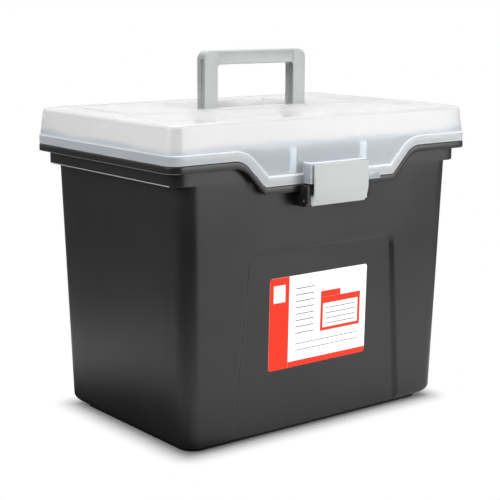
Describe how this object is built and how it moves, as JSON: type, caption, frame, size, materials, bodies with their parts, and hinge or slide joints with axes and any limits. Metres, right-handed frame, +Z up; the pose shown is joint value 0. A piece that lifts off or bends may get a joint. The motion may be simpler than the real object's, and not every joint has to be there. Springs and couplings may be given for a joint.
{
  "type": "portable file box",
  "caption": "Tapered tub for hanging folders with a clear hinged lid, a fold-down bail handle, a front snap latch and a lift-out organiser tray.",
  "frame": {"origin": "middle of the foot's underside, on the table", "axes": "+X along the front from left to right as the latch is faced, -Y out of the front face where the latch is, +Z up"},
  "size_m": [0.3504, 0.2565, 0.3453],
  "materials": {
    "tub_plastic": "fine satin, black polypropylene",
    "lid_plastic": "smooth translucent natural polypropylene",
    "tray_plastic": "translucent milky polypropylene",
    "handle_plastic": "satin light grey",
    "latch_plastic": "satin light grey",
    "latch_pin_metal": "bright drawn wire",
    "hinge_pin_metal": "bright drawn wire",
    "label_paper": "printed film label"
  },
  "bodies": {
    "tub_body": {"tub": "tub_plastic", "label": "label_paper", "latch_pin": "latch_pin_metal", "hinge_pin_left": "hinge_pin_metal", "hinge_pin_right": "hinge_pin_metal"},
    "lid_body": {"lid": "lid_plastic"},
    "tray_body": {"organiser_tray": "tray_plastic"},
    "handle_body": {"handle": "handle_plastic"},
    "latch_body": {"latch": "latch_plastic"}
  },
  "joints": [
    {"name": "lid_hinge", "type": "hinge", "parent": "tub_body", "child": "lid_body", "pos_m": [0, 0.1238, 0.2575], "axis": [-1, 0, 0], "range_deg": [0, 105]},
    {"name": "latch_hinge", "type": "hinge", "parent": "tub_body", "child": "latch_body", "pos_m": [0, -0.1185, 0.2185], "axis": [1, 0, 0], "range_deg": [0, 120]},
    {"name": "handle_fold", "type": "hinge", "parent": "lid_body", "child": "handle_body", "pos_m": [0, 0.0065, 0.2877], "axis": [-1, 0, 0], "range_deg": [0, 90]},
    {"name": "tray_lift", "type": "slide", "parent": "tub_body", "child": "tray_body", "axis": [0, 0, 1], "range_m": [0, 0.045]}
  ],
  "couplings": [
    {"joint": "tray_lift", "follows": "lid_hinge", "m_per_rad": 0.024}
  ]
}
